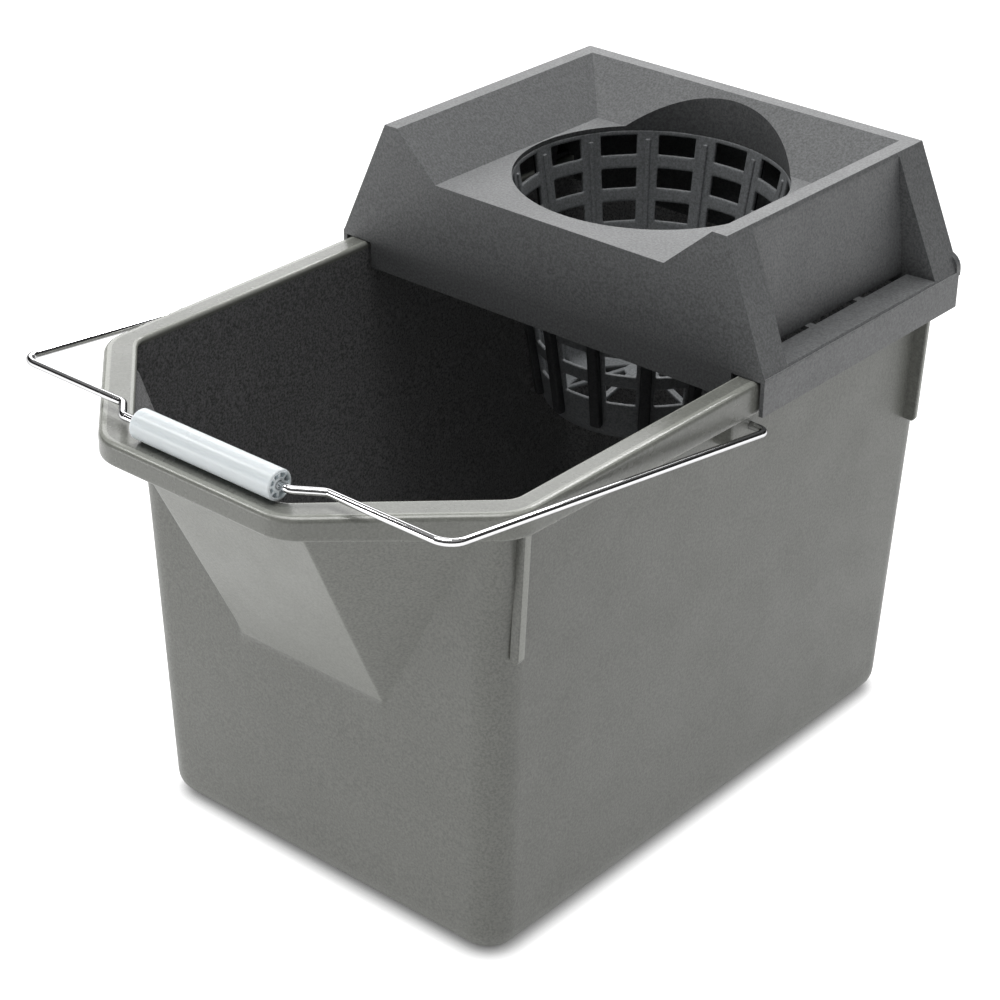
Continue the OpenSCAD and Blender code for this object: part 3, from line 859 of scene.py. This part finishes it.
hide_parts("bail_grip")


# ------------------------------------------------------------------ floor, light, camera

floor_half = 30.0                                 # metres
floor_mesh = bmesh.new()
bmesh.ops.create_grid(floor_mesh, x_segments=2, y_segments=2, size=floor_half)
floor_data = bpy.data.meshes.new("floor")
floor_mesh.to_mesh(floor_data)
floor_mesh.free()
floor = bpy.data.objects.new("floor", floor_data)
scene.collection.objects.link(floor)
floor_skin = bpy.data.materials.new("floor")
floor_skin.use_nodes = True
floor_shader = floor_skin.node_tree.nodes["Principled BSDF"]
floor_shader.inputs["Base Color"].default_value = (0.3, 0.3, 0.3, 1)
# a lit white sweep, with a painted contact shadow where something stands on it
painted_contact_shadow = floor_skin.node_tree.nodes.new("ShaderNodeAmbientOcclusion")
painted_contact_shadow.inputs["Distance"].default_value = 0.008
painted_contact_shadow.inputs["Color"].default_value = (1, 1, 1, 1)
painted_contact_shadow.samples = 8
floor_skin.node_tree.links.new(painted_contact_shadow.outputs["Color"], floor_shader.inputs["Emission Color"])
floor_shader.inputs["Emission Strength"].default_value = 0.98
floor_shader.inputs["Roughness"].default_value = 0.9
floor_shader.inputs["Specular IOR Level"].default_value = 0.1
floor_data.materials.append(floor_skin)


def softbox(name, towards, distance, width, height, radiance):
    """A flat panel of light that faces the object, seen only by its light and its reflections."""
    data = bpy.data.lights.new(name, "AREA")
    data.shape = "RECTANGLE"
    data.size, data.size_y = width, height
    data.energy = math.pi * width * height * radiance
    obj = bpy.data.objects.new(name, data)
    scene.collection.objects.link(obj)
    towards = Vector(towards).normalized()
    obj.location = target + towards * distance
    obj.rotation_euler = towards.to_track_quat("Z", "Y").to_euler()
    obj.visible_camera = False


def overhead(name, towards, strength, spread):
    """Very soft light from above, as from a ceiling of softboxes."""
    data = bpy.data.lights.new(name, "SUN")
    data.energy = strength
    data.angle = math.radians(spread)
    obj = bpy.data.objects.new(name, data)
    scene.collection.objects.link(obj)
    obj.rotation_euler = Vector(towards).to_track_quat("Z", "Y").to_euler()


target = Vector((-0.01886, -0.02450, 0.14621))    # where the camera and the lights point
overhead("ceiling", (-0.10, -0.04, 1.0), 2.5, 42)
softbox("back_panel", (-0.57, 0.67, 0.42), 2.6, 2.8, 1.4, 2.7)
softbox("back_strip", (-0.13, 0.67, 0.73), 2.4, 1.2, 0.4, 12.0)
softbox("front_left", (-0.57, -0.30, 0.76), 2.2, 0.4, 0.4, 14.0)
softbox("low_left", (-0.45, -0.89, 0.05), 2.2, 1.2, 0.4, 5.4)

# a dim room that is brighter overhead
world = bpy.data.worlds.new("studio")
world.use_nodes = True
sky, sky_links = world.node_tree.nodes, world.node_tree.links
direction = sky.new("ShaderNodeTexCoord")
height = sky.new("ShaderNodeSeparateXYZ")
dome = sky.new("ShaderNodeValToRGB")
sky_links.new(direction.outputs["Generated"], height.inputs["Vector"])
sky_links.new(height.outputs["Z"], dome.inputs["Fac"])
for stop, position, grey in zip(dome.color_ramp.elements, (0.40, 0.9), (0.02, 0.36)):
    stop.position = position
    stop.color = (grey, grey, grey, 1)
sky_links.new(dome.outputs["Color"], sky["Background"].inputs["Color"])
sky["Background"].inputs["Strength"].default_value = 1.0
scene.world = world
scene.view_settings.view_transform = "Standard"

azimuth, elevation, roll = math.radians(40.31), math.radians(28.41), math.radians(0.82)
distance = 1.2981
level = math.cos(elevation)
back = Vector((math.sin(azimuth) * level, -math.cos(azimuth) * level, math.sin(elevation)))
right = (-back).cross(Vector((0, 0, 1))).normalized()
up = right.cross(-back)
right, up = (right * math.cos(roll) + up * math.sin(roll)), (up * math.cos(roll) - right * math.sin(roll))
camera_data = bpy.data.cameras.new("camera")
camera_data.lens = 95.29
camera_data.sensor_width = 36
camera_data.shift_x = 0.0181
camera_data.shift_y = -0.0112
camera_data.clip_start = 0.05
camera_data.clip_end = 50
camera = bpy.data.objects.new("camera", camera_data)
scene.collection.objects.link(camera)
camera.matrix_world = Matrix((
    (right.x, up.x, back.x, target.x + back.x * distance),
    (right.y, up.y, back.y, target.y + back.y * distance),
    (right.z, up.z, back.z, target.z + back.z * distance),
    (0, 0, 0, 1)))
scene.camera = camera
